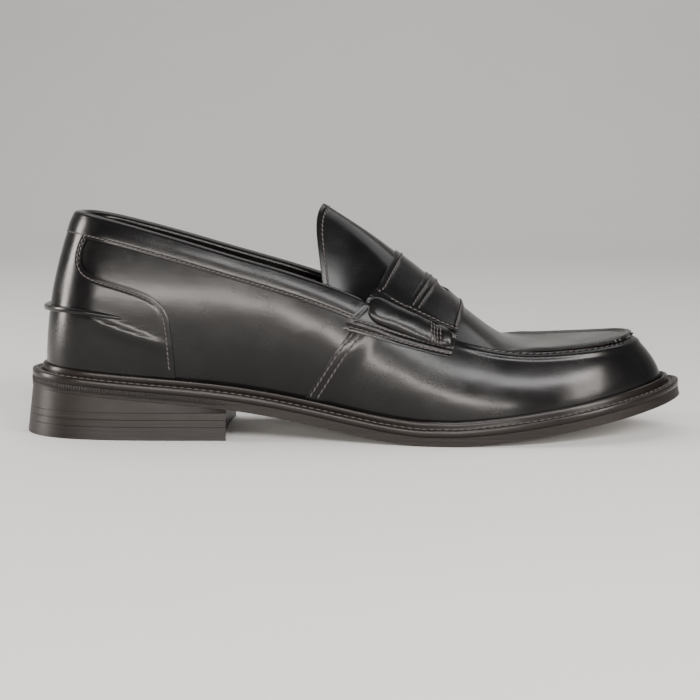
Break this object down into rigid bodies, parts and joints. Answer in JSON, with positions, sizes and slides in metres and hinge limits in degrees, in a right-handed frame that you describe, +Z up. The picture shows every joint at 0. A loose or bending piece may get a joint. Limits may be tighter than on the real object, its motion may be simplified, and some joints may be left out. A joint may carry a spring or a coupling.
{
  "type": "penny loafer",
  "caption": "Right penny loafer in black leather: raised apron toe, slotted strap over the instep, storm welt, stacked heel and a raised strip round the back.",
  "frame": {"origin": "middle of the flat underside of the heel block, on the ground", "axes": "+X towards the toe, +Z up; -Y is the outer side of this right shoe"},
  "size_m": [0.3055, 0.1076, 0.1055],
  "materials": {
    "upper_leather": "satin",
    "top_piece_rubber": "matte",
    "heel_stack": "satin",
    "nail_brass": "satin",
    "sole_leather": "satin",
    "welt_leather": "satin",
    "sole_thread": "matte",
    "upper_thread": "matte",
    "insole_leather": "matte",
    "rib_canvas": "matte",
    "cork": "matte",
    "shank_steel": "satin",
    "lining_leather": "satin",
    "stiffener_board": "matte"
  },
  "bodies": {
    "root": {"heel_top_piece": "top_piece_rubber", "heel_lift_lower": "heel_stack", "heel_lift_upper": "heel_stack", "heel_seat_wedge": "heel_stack", "heel_nails": "nail_brass", "outsole": "sole_leather", "welt": "welt_leather", "welt_stitching": "sole_thread", "inseam_thread": "sole_thread", "insole": "insole_leather", "insole_rib": "rib_canvas", "cork_filler": "cork", "shank": "shank_steel", "sock_liner": "lining_leather", "quarter_lateral": "upper_leather", "quarter_medial": "upper_leather", "vamp_wall": "upper_leather", "apron": "upper_leather", "tongue": "upper_leather", "counter_overlay": "upper_leather", "heel_ledge_strip": "upper_leather", "topline_binding": "upper_leather", "strap_base": "upper_leather", "strap_overlay": "upper_leather", "strap_roll_lateral": "upper_leather", "strap_roll_medial": "upper_leather", "counter_stiffener": "stiffener_board", "toe_puff": "stiffener_board", "quarter_lining": "lining_leather", "vamp_lining": "lining_leather", "apron_lining": "lining_leather", "tongue_lining": "lining_leather", "topline_thread": "upper_thread", "counter_thread": "upper_thread", "vamp_seam_thread": "upper_thread", "apron_seam_thread": "upper_thread", "strap_thread": "upper_thread"}
  },
  "joints": []
}
